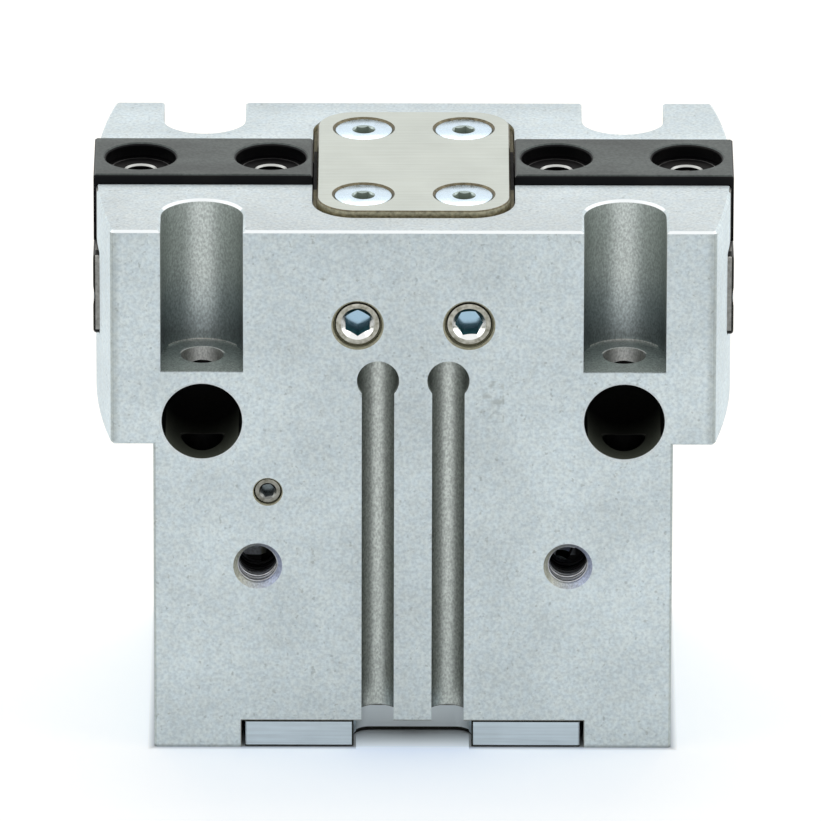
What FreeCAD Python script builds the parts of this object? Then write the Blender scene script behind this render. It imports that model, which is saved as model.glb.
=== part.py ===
import FreeCAD, Part
import os

# Two-jaw parallel gripper, closed. Millimetres, +Z up, jaws slide along X, front face towards -Y.
# The origin is the middle of the base.

# Housing
body_width = 64.0
body_depth = 43.6
housing_height = 68.8
head_height = 28.3
head_front_width = 74.3
head_mid_width = 78.7
edge_round = 0.6
edge_break = 0.3

# Mounting holes, their scallops and the cross bores
mount_side_inset = 6.0
mount_face_inset = 5.5
mount_hole_diameter = 5.3
scallop_radius = 5.08
scallop_depth = 18.6
cross_bore_diameter = 9.9
cross_bore_drop = 25.3

# Jaws and their T-shaped guide
jaw_width = 12.6
jaw_proud = 1.3
jaw_end_proud = 0.15
jaw_stroke = 6.0
jaw_mid_gap = 2.0
jaw_cover_gap = 0.6
lip_height = 7.3
tee_height = 8.2
tee_wing = 1.7
tee_end_clearance = 1.0
slide_clearance = 0.05

# Finger holes in the jaws
seat_diameter = 8.7
seat_depth = 1.75
finger_hole_spacing = 16.1
finger_hole_inset = 5.75
finger_hole_diameter = 3.7
finger_hole_depth = 6.0
finger_hole_mouth = 4.3

# Top cover
cover_length = 23.8
cover_rim = 5.0
cover_corner = 4.8
cover_proud = 0.7
cover_thickness = 2.8
cover_gap = 0.6
cover_screw_inset = 5.7
cover_screw_lip_gap = 0.6

# Side covers
side_cover_thickness = 1.5
side_cover_lap = 2.25
side_cover_wing = 3.95
side_cover_corner = 1.0
side_cover_edge = 0.4
side_cover_top_gap = 0.1
side_seat_gap = 0.1
side_seat_relief = 0.5

# Base cover, its spigot and its seal
base_cover_thickness = 3.5
base_cover_recess = 0.1
base_cover_gap = 0.5
foot_wall = 2.15
notch_width = 14.6
notch_depth = 5.3
notch_corner = 2.0
spigot_height = 5.9
spigot_seal_drop = 2.0
base_screw_side_inset = 5.7
base_screw_face_inset = 4.5
base_screw_length = 10.0

# Sensor slots
slot_spacing = 8.66
slot_mouth = 4.0
slot_bore = 5.2
slot_axis_depth = 2.4
slot_drop = 19.8

# Cylinder, piston and rod
cylinder_land = 3.2
cylinder_wall = 2.8
cylinder_corner = 13.0
partition = 8.0
piston_stroke = 10.0
piston_end_gap = 0.4
piston_clearance = 0.1
piston_relief = 1.5
piston_relief_height = 2.2
seal_height = 2.4
seal_depth = 2.0
band_height = 3.0
band_depth = 1.2
ring_land = 1.2
magnet_diameter = 4.0
magnet_height = 4.0
magnet_wall = 2.2
rod_diameter = 10.0
rod_seat = 1.5
rod_pass_gap = 0.2

# Bush, seal and retainer round the rod
bush_wall = 1.5
bush_length = 4.0
bush_lip = 0.4
rod_seal_wall = 2.0
rod_seal_height = 2.4
retainer_thickness = 1.0
retainer_wall = 1.8
retainer_bite = 0.5
retainer_opening = 3.0
groove_play = 0.1

# Wedge hook
hook_top_width = 7.2
hook_height = 11.7
hook_cover_gap = 0.5
hook_floor_gap = 0.5
hook_side_gap = 1.35
flank_gap = 0.15
rib_neck_width = 3.0
rib_neck_depth = 1.4
rib_head_width = 6.0
rib_head_depth = 1.6
rib_clearance = 0.1
leg_floor_gap = 3.5
leg_wall = 1.6
chamber_side_gap = 0.35
chamber_end_gap = 0.5

# Ports, plugs and ducts
port_spacing = 38.3
port_height = 24.3
port_diameter = 5.0
port_mouth = 6.1
port_depth = 8.5
purge_spacing = 13.7
purge_drop = 12.45
purge_thread = 6.0
purge_mouth = 6.5
purge_socket = 3.0
purge_length = 5.0
purge_recess = 0.45
purge_duct = 3.0
duct_plug_offset = 17.9
duct_plug_thread = 3.4
duct_plug_mouth = 3.75
duct_plug_socket = 1.5
duct_plug_length = 4.0
duct_plug_recess = 0.3
duct_diameter = 2.0
duct_ceiling_gap = 1.8
duct_inset = 8.0
ball_diameter = 3.0
ball_cover_gap = 0.1

# Screws
cover_thread = 4.0
cover_head = 7.1
cover_mouth = 7.75
cover_socket = 2.5
side_thread = 2.0
side_head = 3.6
side_mouth = 4.1
side_socket = 1.3
side_screw_length = 5.0
drive_thread = 5.0
drive_head = 8.5
drive_head_height = 5.0
drive_socket = 4.0
drive_head_recess = 0.6
drive_grip = 6.0
head_rim = 0.15
fit = 0.03
drill_gap = 0.5
overcut = 1.0

# Derived heights, from the top down
head_z = housing_height - head_height
lip_z = housing_height - lip_height
tee_floor = lip_z - tee_height
scallop_floor = housing_height - scallop_depth
cover_top = housing_height + cover_proud
cover_under = cover_top - cover_thickness
jaw_top = housing_height + jaw_proud
hook_top = cover_under - hook_cover_gap - piston_stroke
hook_bottom = hook_top - hook_height
chamber_floor = hook_bottom - hook_floor_gap
ceiling = chamber_floor - partition

# Derived heights, from the base up
base_pocket_height = base_cover_thickness + base_cover_recess
spigot_top = base_pocket_height + spigot_height
piston_bottom = spigot_top + piston_end_gap
piston_top = ceiling - piston_end_gap - piston_stroke
piston_middle = (piston_bottom + piston_top) / 2

# Derived places in plan
front = -body_depth / 2
mount_x = body_width / 2 - mount_side_inset
mount_y = body_depth / 2 - mount_face_inset
base_pocket_half = mount_x - mount_hole_diameter / 2 - foot_wall
base_cover_half = base_pocket_half - base_cover_gap
cylinder_half_x = base_pocket_half - cylinder_land
cylinder_half_y = body_depth / 2 - slot_axis_depth - slot_bore / 2 - cylinder_wall
cover_half_x = cover_length / 2
cover_half_y = body_depth / 2 - cover_rim
jaw_inner = cover_half_x + jaw_cover_gap
jaw_outer = head_mid_width / 2 + jaw_end_proud
jaw_half = jaw_width / 2
tee_half = jaw_half + tee_wing
side_seat = jaw_outer - side_cover_thickness
tee_outer = side_seat - jaw_stroke - tee_end_clearance
side_cover_half = tee_half + side_cover_wing
side_cover_bottom = tee_floor - side_cover_lap
side_cover_top = lip_z - side_cover_top_gap
side_screw_y = tee_half + side_cover_wing / 2
side_screw_z = (side_cover_bottom + side_cover_top) / 2
hook_half_y = jaw_half - hook_side_gap
slope = jaw_stroke / piston_stroke
leg_bottom = chamber_floor + leg_floor_gap
duct_z = ceiling - duct_ceiling_gap
duct_y = front + duct_inset
rod_seal_z = ceiling + retainer_thickness + 2 * groove_play
bush_z = chamber_floor - bush_lip - bush_length

V = FreeCAD.Vector
UP = V(0, 0, 1)
DOWN = V(0, 0, -1)
BACK = V(0, 1, 0)
FRONT = V(0, -1, 0)
RIGHT = V(1, 0, 0)
LEFT = V(-1, 0, 0)


# Simple solids
def box(x0, x1, y0, y1, z0, z1):
    return Part.makeBox(x1 - x0, y1 - y0, z1 - z0, V(x0, y0, z0))


def round_bar(diameter, start, axis, length):
    return Part.makeCylinder(diameter / 2, length, start, axis)


def mouth(wide, narrow, start, axis):
    depth = (wide - narrow) / 2
    return Part.makeCone(wide / 2, narrow / 2, depth, start, axis)


def edges_along(shape, axis):
    found = []
    for edge in shape.Edges:
        run = edge.Vertexes[-1].Point - edge.Vertexes[0].Point
        if run.cross(axis).Length < fit and run.Length > fit:
            found.append(edge)
    return found


def rounded_block(half_x, half_y, corner, z0, z1):
    block = box(-half_x, half_x, -half_y, half_y, z0, z1)
    radius = min(corner, half_x - fit, half_y - fit)
    return block.makeFillet(radius, edges_along(block, UP))


def rounded_ring(half_x, half_y, corner, depth, z0, z1):
    outer = rounded_block(half_x, half_y, corner, z0, z1)
    inner = rounded_block(half_x - depth, half_y - depth, corner - depth, z0 - overcut, z1 + overcut)
    return outer.cut(inner)


def tube(outside, inside, z0, z1):
    outer = round_bar(outside, V(0, 0, z0), UP, z1 - z0)
    return outer.cut(round_bar(inside, V(0, 0, z0 - overcut), UP, z1 - z0 + 2 * overcut))


def hexagon(across_flats, depth):
    across_corners = across_flats / 3 ** 0.5
    turn = FreeCAD.Rotation(UP, 60)
    points = [V(across_corners, 0, 0)]
    for _ in range(6):
        points.append(turn.multVec(points[-1]))
    return Part.Face(Part.makePolygon(points)).extrude(V(0, 0, -depth))


def extrude_xz(points, half_y):
    outline = [V(x, -half_y, z) for x, z in points]
    return Part.Face(Part.makePolygon(outline + outline[:1])).extrude(V(0, 2 * half_y, 0))


def placed(shape, start, axis):
    copy = shape.copy()
    copy.Placement = FreeCAD.Placement(start, FreeCAD.Rotation(UP, axis))
    return copy


def mirrored(shape):
    return shape.mirror(V(0, 0, 0), RIGHT)


def corners(x, y):
    return [(sx * x, sy * y) for sx in (-1, 1) for sy in (-1, 1)]


# Fasteners, made hanging down from the origin with the head on top
def countersunk_screw(thread, head, socket, length):
    cone = (head - thread) / 2
    shank = round_bar(thread, V(0, 0, -length), UP, length - head_rim)
    rim = round_bar(head, V(0, 0, -head_rim), UP, head_rim)
    taper = mouth(head, thread, V(0, 0, -head_rim), DOWN)
    return shank.fuse([rim, taper]).removeSplitter().cut(hexagon(socket, cone))


def countersink(wide, thread, depth):
    hole = round_bar(thread + 2 * fit, V(0, 0, overcut), DOWN, depth + overcut)
    return hole.fuse(mouth(wide, thread, V(0, 0, 0), DOWN))


def countersunk_recess(wide, head):
    return (wide - head) / 2 - head_rim - fit


def set_screw(thread, socket, length):
    screw = round_bar(thread, V(0, 0, -length), UP, length)
    rims = [e for e in screw.Edges if e.Curve.TypeId == "Part::GeomCircle"]
    return screw.makeChamfer(edge_break, rims).cut(hexagon(socket, length / 2))


def plugged_hole(thread, wide, depth):
    hole = round_bar(thread + 2 * fit, V(0, 0, overcut), DOWN, depth + overcut)
    return hole.fuse(mouth(wide, thread, V(0, 0, 0), DOWN))


# Housing
def housing_blank():
    half = body_width / 2
    lower = box(-half, half, front, -front, 0, head_z + edge_break)
    lower = lower.makeChamfer(edge_break, edges_along(lower, UP))
    wide = head_front_width / 2
    bulge = head_mid_width / 2
    right_end = Part.Arc(V(wide, front, head_z), V(bulge, 0, head_z), V(wide, -front, head_z)).toShape()
    back_edge = Part.makeLine(V(wide, -front, head_z), V(-wide, -front, head_z))
    left_end = Part.Arc(V(-wide, -front, head_z), V(-bulge, 0, head_z), V(-wide, front, head_z)).toShape()
    front_edge = Part.makeLine(V(-wide, front, head_z), V(wide, front, head_z))
    outline = Part.Wire([right_end, back_edge, left_end, front_edge])
    head = Part.Face(outline).extrude(V(0, 0, head_height))
    head = head.makeFillet(edge_round, edges_along(head, UP))
    level = [e for e in head.Edges if e.BoundBox.ZLength < fit]
    return lower.fuse(head.makeChamfer(edge_break, level)).removeSplitter()


def scallops():
    cuts = []
    height = scallop_depth + overcut
    rim = scallop_radius + edge_break
    section = [(-scallop_radius, housing_height - edge_break), (scallop_radius, housing_height - edge_break),
               (rim, housing_height), (-rim, housing_height)]
    for x, y in corners(mount_x, mount_y):
        reach = 2 * mount_face_inset if y > 0 else -2 * mount_face_inset
        slot = box(x - scallop_radius, x + scallop_radius, min(y, y + reach), max(y, y + reach),
                   scallop_floor, scallop_floor + height)
        well = round_bar(2 * scallop_radius, V(x, y, scallop_floor), UP, height)
        well_rim = mouth(2 * rim, 2 * scallop_radius, V(x, y, housing_height), DOWN)
        slot_rim = extrude_xz(section, abs(reach) / 2)
        slot_rim.translate(V(x, y + reach / 2, 0))
        hole = round_bar(mount_hole_diameter, V(x, y, -overcut), UP, housing_height)
        hole_rim = mouth(mount_hole_diameter + 2 * edge_break, mount_hole_diameter, V(x, y, 0), UP)
        cuts += [slot, well, well_rim, slot_rim, hole, hole_rim]
    return cuts


def cross_bores():
    cuts = []
    z = housing_height - cross_bore_drop
    wide = cross_bore_diameter + 2 * edge_break
    for x in (-mount_x, mount_x):
        cuts.append(round_bar(cross_bore_diameter, V(x, front - overcut, z), BACK, body_depth + 2 * overcut))
        cuts.append(mouth(wide, cross_bore_diameter, V(x, front, z), BACK))
        cuts.append(mouth(wide, cross_bore_diameter, V(x, -front, z), FRONT))
    return cuts


def sensor_slots():
    cuts = []
    top = housing_height - slot_drop
    axis_y = front + slot_axis_depth
    for x in (-slot_spacing / 2, slot_spacing / 2):
        cuts.append(round_bar(slot_bore, V(x, axis_y, 0), UP, top))
        cuts.append(box(x - slot_mouth / 2, x + slot_mouth / 2, front - overcut, axis_y, 0, top))
        cuts.append(round_bar(slot_bore, V(x, front - overcut, top), BACK, slot_axis_depth + overcut))
        cuts.append(Part.makeSphere(slot_bore / 2, V(x, axis_y, top)))
    return cuts


def guide_cuts():
    reach = head_mid_width
    neck = jaw_half + slide_clearance
    tee = tee_half + slide_clearance
    leg_end = leg_outer() + jaw_stroke + chamber_end_gap
    chamber = hook_half_y + chamber_side_gap
    seat = rounded_block(cover_half_x + cover_gap, cover_half_y + cover_gap, cover_corner + cover_gap,
                         cover_under, housing_height + overcut)
    return [box(-reach, reach, -neck, neck, lip_z - overcut, housing_height + overcut),
            box(-reach, reach, -tee, tee, tee_floor, lip_z),
            box(-leg_end, leg_end, -chamber, chamber, chamber_floor, tee_floor + overcut),
            seat]


def side_seats():
    half = side_cover_half + side_seat_gap
    seat = box(side_seat, head_mid_width, -half, half,
               side_cover_bottom - side_seat_gap, lip_z + side_seat_relief)
    low = [e for e in edges_along(seat, RIGHT) if e.BoundBox.ZMax < side_screw_z]
    seat = seat.makeFillet(side_cover_corner + side_seat_gap, low)
    return [seat, mirrored(seat)]


def cylinder_cuts():
    pocket = box(-base_pocket_half, base_pocket_half, front - overcut, -front + overcut,
                 -overcut, base_pocket_height)
    bore = rounded_block(cylinder_half_x, cylinder_half_y, cylinder_corner, 0, ceiling)
    passage = round_bar(rod_diameter + 2 * rod_pass_gap, V(0, 0, ceiling), UP, partition + overcut)
    bush = round_bar(rod_diameter + 2 * bush_wall + 2 * fit, V(0, 0, ceiling), UP, partition - bush_lip)
    seal_bore = rod_diameter + 2 * rod_seal_wall + 2 * fit
    seal = round_bar(seal_bore, V(0, 0, ceiling), UP, rod_seal_z + rod_seal_height + fit - ceiling)
    groove = round_bar(seal_bore + 2 * retainer_bite, V(0, 0, ceiling + groove_play - fit), UP,
                       retainer_thickness + 2 * fit)
    return [pocket, bore, passage, bush, seal, groove]


def port_cuts():
    cuts = []
    length = -front - tee_half
    for x in (-port_spacing / 2, port_spacing / 2):
        cuts.append(round_bar(port_diameter, V(x, front - overcut, port_height), BACK, port_depth + overcut))
        cuts.append(mouth(port_mouth, port_diameter, V(x, front, port_height), BACK))
    purge_z = housing_height - purge_drop
    purge = plugged_hole(purge_thread, purge_mouth, purge_recess + purge_length + drill_gap)
    for x in (-purge_spacing / 2, purge_spacing / 2):
        cuts.append(placed(purge, V(x, front, purge_z), FRONT))
        cuts.append(round_bar(purge_duct, V(x, front + overcut, purge_z), BACK, length))
    plug = plugged_hole(duct_plug_thread, duct_plug_mouth, duct_plug_recess + duct_plug_length + drill_gap)
    cuts.append(placed(plug, V(-duct_plug_offset, front, duct_z), FRONT))
    return cuts


def air_ducts():
    high = round_bar(duct_diameter, V(-duct_plug_offset, front + overcut, duct_z), BACK, -front - overcut)
    riser = round_bar(duct_diameter, V(-duct_plug_offset, duct_y, 0), UP, duct_z)
    ball_seat = round_bar(ball_diameter + 2 * fit, V(-duct_plug_offset, duct_y, 0), UP,
                          base_pocket_height + ball_cover_gap + ball_diameter)
    start = V(cylinder_half_x - cylinder_land, duct_y / 2, piston_bottom + piston_relief_height / 2)
    end = V(port_spacing / 2, duct_y, port_height)
    low = round_bar(duct_diameter, start, end - start, (end - start).Length)
    return [high, riser, ball_seat, low]


def screw_holes():
    cuts = []
    bottom = lip_z + cover_screw_lip_gap - fit
    for x, y in corners(cover_half_x - cover_screw_inset, cover_half_y - cover_screw_inset):
        cuts.append(round_bar(cover_thread + 2 * fit, V(x, y, bottom), UP, housing_height - bottom))
    for x, y in base_screw_places():
        cuts.append(round_bar(cover_thread + 2 * fit, V(x, y, 0), UP, base_screw_length + drill_gap))
    for y in (-side_screw_y, side_screw_y):
        hole = round_bar(side_thread + 2 * fit, V(jaw_outer, y, side_screw_z), LEFT,
                         side_screw_length + drill_gap)
        cuts += [hole, mirrored(hole)]
    return cuts


def base_screw_places():
    return corners(base_cover_half - base_screw_side_inset, body_depth / 2 - base_screw_face_inset)


def housing():
    cuts = scallops() + cross_bores() + sensor_slots() + guide_cuts() + side_seats()
    cuts += cylinder_cuts() + port_cuts() + air_ducts() + screw_holes()
    return housing_blank().cut(cuts)


# Jaws
def flank_x(z):
    return hook_top_width / 2 + slope * (hook_top - z)


def leg_outer():
    return flank_x(leg_bottom) + rib_neck_depth + rib_head_depth + rib_clearance + leg_wall


def slanted_bar(x0, x1, half_y, z0, z1):
    x = flank_x(z0)
    outline = [V(x + x0, -half_y, z0), V(x + x1, -half_y, z0),
               V(x + x1, half_y, z0), V(x + x0, half_y, z0)]
    face = Part.Face(Part.makePolygon(outline + outline[:1]))
    return face.extrude(V(-slope * (z1 - z0), 0, z1 - z0))


def jaw_right():
    base_top = lip_z - slide_clearance
    base_bottom = tee_floor + slide_clearance
    neck = box(jaw_inner, jaw_outer, -jaw_half, jaw_half, base_top, jaw_top)
    top_edges = [e for e in neck.Edges if e.BoundBox.ZMin > jaw_top - fit]
    neck = neck.makeChamfer(edge_break, top_edges)
    base = box(jaw_mid_gap / 2, tee_outer, -tee_half, tee_half, base_bottom, base_top)
    leg = box(jaw_mid_gap / 2, leg_outer(), -hook_half_y, hook_half_y, leg_bottom, base_bottom)
    low, high = leg_bottom - overcut, base_top + overcut
    beyond = [(-jaw_outer, low), (flank_x(low) + flank_gap, low),
              (flank_x(high) + flank_gap, high), (-jaw_outer, high)]
    groove_start = rib_neck_depth - rib_clearance
    groove_end = rib_neck_depth + rib_head_depth + rib_clearance
    cuts = [extrude_xz(beyond, jaw_width),
            slanted_bar(0, rib_neck_depth, rib_neck_width / 2 + rib_clearance, low, high),
            slanted_bar(groove_start, groove_end, rib_head_width / 2 + rib_clearance, low, high)]
    outer_hole = jaw_outer - finger_hole_inset
    seat_z = jaw_top - seat_depth
    for x in (outer_hole, outer_hole - finger_hole_spacing):
        cuts.append(round_bar(seat_diameter, V(x, 0, jaw_top + overcut), DOWN, seat_depth + overcut))
        cuts.append(mouth(seat_diameter + 2 * edge_break, seat_diameter, V(x, 0, jaw_top), DOWN))
        cuts.append(round_bar(finger_hole_diameter, V(x, 0, seat_z), DOWN, finger_hole_depth))
        cuts.append(mouth(finger_hole_mouth, finger_hole_diameter, V(x, 0, seat_z), DOWN))
    return neck.fuse([base, leg]).removeSplitter().cut(cuts)


# Covers
def top_cover():
    plate = rounded_block(cover_half_x, cover_half_y, cover_corner, cover_under, cover_top)
    rim = [e for e in plate.Edges if e.BoundBox.ZMin > cover_top - fit]
    plate = plate.makeChamfer(edge_break / 2, rim)
    hole = countersink(cover_mouth, cover_thread, cover_thickness + overcut)
    places = corners(cover_half_x - cover_screw_inset, cover_half_y - cover_screw_inset)
    return plate.cut([placed(hole, V(x, y, cover_top), UP) for x, y in places])


def top_cover_screws():
    top = cover_top - countersunk_recess(cover_mouth, cover_head)
    screw = countersunk_screw(cover_thread, cover_head, cover_socket, top - lip_z - cover_screw_lip_gap)
    places = corners(cover_half_x - cover_screw_inset, cover_half_y - cover_screw_inset)
    return Part.makeCompound([placed(screw, V(x, y, top), UP) for x, y in places])


def side_cover_right():
    plate = box(side_seat, jaw_outer, -side_cover_half, side_cover_half,
                side_cover_bottom, side_cover_top)
    plate = plate.makeFillet(side_cover_corner, edges_along(plate, RIGHT))
    rim = [e for e in plate.Edges if e.BoundBox.XMin > jaw_outer - fit]
    plate = plate.makeFillet(side_cover_edge, rim)
    hole = countersink(side_mouth, side_thread, side_cover_thickness + overcut)
    places = (-side_screw_y, side_screw_y)
    return plate.cut([placed(hole, V(jaw_outer, y, side_screw_z), RIGHT) for y in places])


def side_cover_screws():
    x = jaw_outer - countersunk_recess(side_mouth, side_head)
    screw = countersunk_screw(side_thread, side_head, side_socket, side_screw_length)
    pair = [placed(screw, V(x, y, side_screw_z), RIGHT) for y in (-side_screw_y, side_screw_y)]
    return Part.makeCompound(pair + [mirrored(s) for s in pair])


def bottom_cover():
    plate = box(-base_cover_half, base_cover_half, front, -front, base_cover_recess, base_pocket_height)
    plate = plate.makeChamfer(edge_break / 2, edges_along(plate, UP) + edges_along(plate, RIGHT))
    notch = box(-notch_width / 2, notch_width / 2, front - notch_depth, front + notch_depth,
                -overcut, base_pocket_height)
    inner = [e for e in edges_along(notch, UP) if e.BoundBox.YMin > front]
    notch = notch.makeFillet(notch_corner, inner)
    half_x = cylinder_half_x - fit
    half_y = cylinder_half_y - fit
    spigot = rounded_block(half_x, half_y, cylinder_corner - fit, base_pocket_height, spigot_top)
    groove_top = spigot_top - spigot_seal_drop
    groove = rounded_ring(half_x + overcut, half_y + overcut, cylinder_corner + overcut,
                          seal_depth + overcut, groove_top - seal_height - groove_play, groove_top)
    hole = countersink(cover_mouth, cover_thread, base_cover_thickness + overcut)
    holes = [placed(hole, V(x, y, base_cover_recess), DOWN) for x, y in base_screw_places()]
    return plate.fuse(spigot).cut([notch, groove] + holes)


def bottom_cover_screws():
    z = base_cover_recess + countersunk_recess(cover_mouth, cover_head)
    screw = countersunk_screw(cover_thread, cover_head, cover_socket, base_screw_length)
    return Part.makeCompound([placed(screw, V(x, y, z), DOWN) for x, y in base_screw_places()])


def bottom_cover_seal():
    top = spigot_top - spigot_seal_drop - groove_play / 2
    return rounded_ring(cylinder_half_x - fit, cylinder_half_y - fit, cylinder_corner - fit,
                        seal_depth - fit, top - seal_height, top)


# Piston group
def piston_groove(height, depth, z0):
    half_x = cylinder_half_x - piston_clearance
    half_y = cylinder_half_y - piston_clearance
    return rounded_ring(half_x + overcut, half_y + overcut, cylinder_corner + overcut, depth + overcut,
                        z0 - groove_play / 2, z0 + height + groove_play / 2)


def seal_z():
    return piston_middle - ring_land / 2 - seal_height


def band_z():
    return piston_middle + ring_land / 2


def magnet_places():
    y = -cylinder_half_y + seal_depth + magnet_wall + magnet_diameter / 2
    return [(-slot_spacing / 2, y), (slot_spacing / 2, y)]


def piston():
    half_x = cylinder_half_x - piston_clearance
    half_y = cylinder_half_y - piston_clearance
    corner = cylinder_corner - piston_clearance
    core = rounded_block(half_x - piston_relief, half_y - piston_relief, corner - piston_relief,
                         piston_bottom, piston_top)
    skirt = rounded_block(half_x, half_y, corner,
                          piston_bottom + piston_relief_height, piston_top - piston_relief_height)
    head_end = drive_head_recess + drive_head_height
    cuts = [piston_groove(seal_height, seal_depth, seal_z()),
            piston_groove(band_height, band_depth, band_z()),
            round_bar(rod_diameter + 2 * fit, V(0, 0, piston_top - rod_seat), UP, rod_seat + overcut),
            round_bar(drive_thread + 2 * fit, V(0, 0, piston_bottom), UP, piston_top - piston_bottom),
            round_bar(drive_head + 2 * fit, V(0, 0, piston_bottom - overcut), UP, head_end + overcut)]
    for x, y in magnet_places():
        cuts.append(round_bar(magnet_diameter + 2 * fit, V(x, y, piston_top + overcut), DOWN,
                              magnet_height + overcut))
    return core.fuse(skirt).removeSplitter().cut(cuts)


def piston_seal():
    return rounded_ring(cylinder_half_x - fit, cylinder_half_y - fit, cylinder_corner - fit,
                        seal_depth + piston_clearance - 2 * fit, seal_z(), seal_z() + seal_height)


def piston_guide_band():
    return rounded_ring(cylinder_half_x - fit, cylinder_half_y - fit, cylinder_corner - fit,
                        band_depth + piston_clearance - 2 * fit, band_z(), band_z() + band_height)


def piston_magnets():
    z = piston_top - magnet_height
    bars = [round_bar(magnet_diameter, V(x, y, z), UP, magnet_height) for x, y in magnet_places()]
    return Part.makeCompound(bars)


def piston_rod():
    return tube(rod_diameter, drive_thread + 2 * fit, piston_top - rod_seat, hook_bottom + rod_seat)


def wedge_hook():
    wide = flank_x(hook_bottom)
    narrow = flank_x(hook_top)
    outline = [(-wide, hook_bottom), (wide, hook_bottom), (narrow, hook_top), (-narrow, hook_top)]
    body = extrude_xz(outline, hook_half_y)
    neck = slanted_bar(-rib_clearance, rib_neck_depth, rib_neck_width / 2, hook_bottom, hook_top)
    head = slanted_bar(rib_neck_depth, rib_neck_depth + rib_head_depth, rib_head_width / 2,
                       hook_bottom, hook_top)
    ribs = [neck, head, mirrored(neck), mirrored(head)]
    seat = round_bar(rod_diameter + 2 * fit, V(0, 0, hook_bottom - overcut), UP, rod_seat + overcut)
    thread = round_bar(drive_thread + 2 * fit, V(0, 0, hook_bottom), UP, rod_seat + drive_grip + drill_gap)
    return body.fuse(ribs).removeSplitter().cut([seat, thread])


def drive_screw():
    z0 = piston_bottom + drive_head_recess
    head = round_bar(drive_head, V(0, 0, z0), UP, drive_head_height)
    shank = round_bar(drive_thread, V(0, 0, z0 + drive_head_height), UP,
                      hook_bottom + rod_seat + drive_grip - z0 - drive_head_height)
    socket = placed(hexagon(drive_socket, drive_head_height / 2), V(0, 0, z0), DOWN)
    return head.fuse(shank).cut(socket)


# Rod guide in the partition
def rod_bush():
    outside = rod_diameter + 2 * bush_wall
    return tube(outside, rod_diameter + 2 * fit, bush_z, bush_z + bush_length)


def rod_seal():
    outside = rod_diameter + 2 * rod_seal_wall
    return tube(outside, rod_diameter + 2 * fit, rod_seal_z, rod_seal_z + rod_seal_height)


def seal_retainer():
    outside = rod_diameter + 2 * rod_seal_wall + 2 * retainer_bite
    z0 = ceiling + groove_play
    ring = tube(outside, outside - 2 * retainer_wall, z0, z0 + retainer_thickness)
    opening = box(0, outside, -retainer_opening / 2, retainer_opening / 2, z0 - overcut, z0 + 2 * overcut)
    return ring.cut(opening)


# Plugs
def purge_plugs():
    plug = set_screw(purge_thread, purge_socket, purge_length)
    z = housing_height - purge_drop
    places = (-purge_spacing / 2, purge_spacing / 2)
    return Part.makeCompound([placed(plug, V(x, front + purge_recess, z), FRONT) for x in places])


def duct_plug():
    plug = set_screw(duct_plug_thread, duct_plug_socket, duct_plug_length)
    return placed(plug, V(-duct_plug_offset, front + duct_plug_recess, duct_z), FRONT)


def duct_ball():
    z = base_pocket_height + ball_cover_gap + ball_diameter / 2
    return Part.makeSphere(ball_diameter / 2, V(-duct_plug_offset, duct_y, z))


nodes = {
    "housing": housing(),
    "jaw_left": mirrored(jaw_right()),
    "jaw_right": jaw_right(),
    "top_cover": top_cover(),
    "top_cover_screws": top_cover_screws(),
    "side_cover_left": mirrored(side_cover_right()),
    "side_cover_right": side_cover_right(),
    "side_cover_screws": side_cover_screws(),
    "bottom_cover": bottom_cover(),
    "bottom_cover_screws": bottom_cover_screws(),
    "bottom_cover_seal": bottom_cover_seal(),
    "piston": piston(),
    "piston_seal": piston_seal(),
    "piston_guide_band": piston_guide_band(),
    "piston_magnets": piston_magnets(),
    "piston_rod": piston_rod(),
    "wedge_hook": wedge_hook(),
    "drive_screw": drive_screw(),
    "rod_bush": rod_bush(),
    "rod_seal": rod_seal(),
    "seal_retainer": seal_retainer(),
    "purge_plugs": purge_plugs(),
    "duct_plug": duct_plug(),
    "duct_ball": duct_ball(),
}

os.makedirs("parts", exist_ok=True)
for name, shape in nodes.items():
    shape.exportStep("parts/%s.step" % name)
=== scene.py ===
import bpy
import math
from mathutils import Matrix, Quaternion, Vector
from types import SimpleNamespace


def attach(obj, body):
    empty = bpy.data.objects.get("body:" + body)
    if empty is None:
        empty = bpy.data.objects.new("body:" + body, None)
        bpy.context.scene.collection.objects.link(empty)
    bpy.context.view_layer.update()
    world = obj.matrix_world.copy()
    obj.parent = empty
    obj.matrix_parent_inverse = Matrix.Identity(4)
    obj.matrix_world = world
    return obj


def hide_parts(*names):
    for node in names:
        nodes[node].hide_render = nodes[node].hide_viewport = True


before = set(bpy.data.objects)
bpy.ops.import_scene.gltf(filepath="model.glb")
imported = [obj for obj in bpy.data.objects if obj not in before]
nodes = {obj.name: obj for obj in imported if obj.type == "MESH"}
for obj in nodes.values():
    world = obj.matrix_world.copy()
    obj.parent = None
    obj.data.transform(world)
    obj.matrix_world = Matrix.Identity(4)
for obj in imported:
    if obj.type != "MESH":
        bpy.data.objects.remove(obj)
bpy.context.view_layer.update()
scene = bpy.context.scene
print("frame loaded,", len(nodes), "CAD nodes")

# Places that finishes and pieces share, in metres from the middle of the body and from the floor
spots = {
    "plateScrew": (0.0062, 0.0111),
    "baseScrew": (0.0150, 0.0173),
    "sideScrew": (0.00998, 0.05622),
    "purgePlug": (0.00685, 0.05635),
    "ductPlug": (0.0179, 0.0342),
    "airPort": (0.01915, 0.0243),
    "fingerHoles": (0.01765, 0.03375),
}
# A face counts as square to an axis when its normal has more than this share along it
squareOn = 0.9
# Most of a noise pattern lies between these values
noiseSpan = (0.3, 0.7)


# Node helpers, for materials and for shapes
def feed(tree, socket, value):
    if isinstance(value, bpy.types.NodeSocket):
        tree.links.new(value, socket)
    else:
        socket.default_value = value


def setInputs(tree, node, values):
    for key, value in values.items():
        feed(tree, node.inputs[key], value)


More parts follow.
